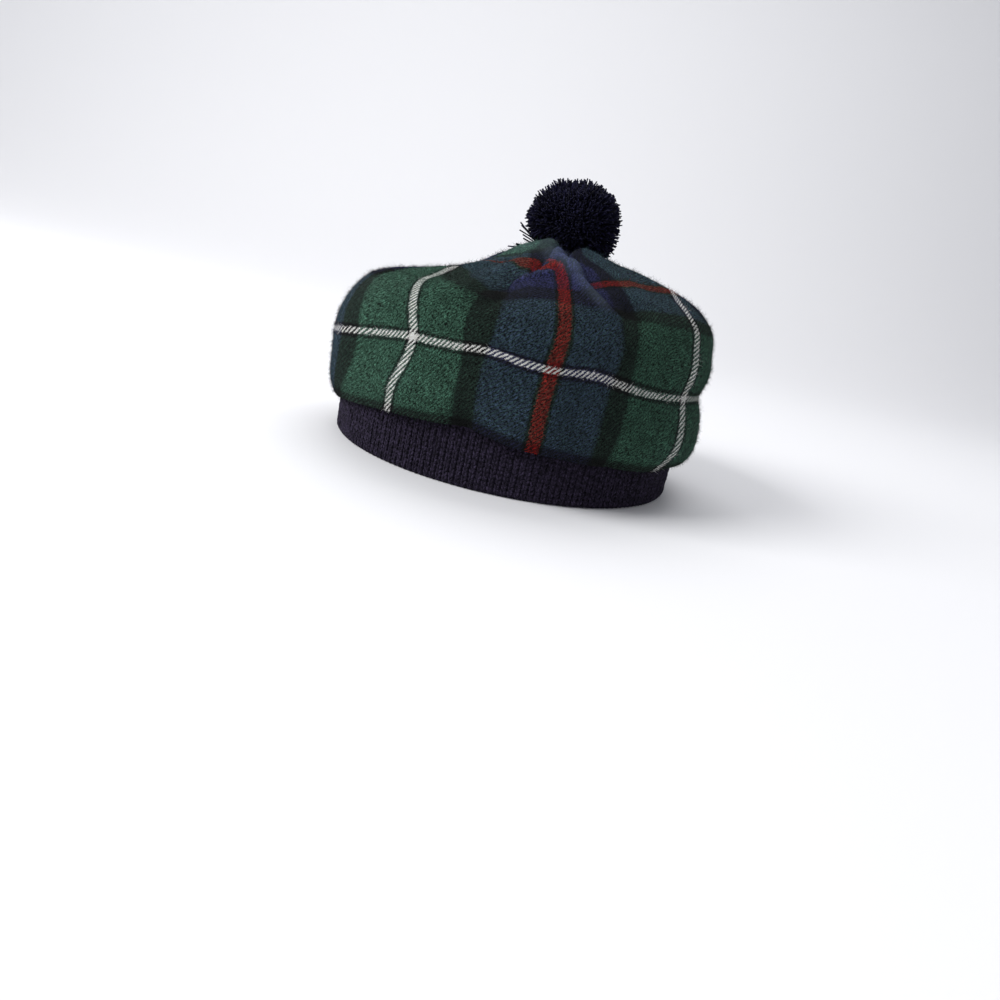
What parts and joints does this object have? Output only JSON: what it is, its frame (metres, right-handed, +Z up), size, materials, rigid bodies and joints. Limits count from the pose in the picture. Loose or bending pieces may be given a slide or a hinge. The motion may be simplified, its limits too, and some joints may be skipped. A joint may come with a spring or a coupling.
{
  "type": "tam o shanter",
  "caption": "Round woollen bonnet: a full tartan crown darted in to a yarn pompom, on a ribbed knit headband.",
  "frame": {"origin": "under the middle of the hat, on the surface that the band stands on", "axes": "+Z up out of the head opening towards the pompom, -Y towards the side whose middle carries the red stripe, +X to the right of that side as one faces it"},
  "size_m": [0.2014, 0.2042, 0.1475],
  "materials": {
    "crown_tartan": "brushed twill wool in a green, blue, black, red and white check",
    "band_knit": "matt rib knit",
    "pompom_yarn": "cut wool yarn"
  },
  "bodies": {
    "root": {"crown": "crown_tartan", "headband": "band_knit", "pompom": "pompom_yarn"}
  },
  "joints": []
}
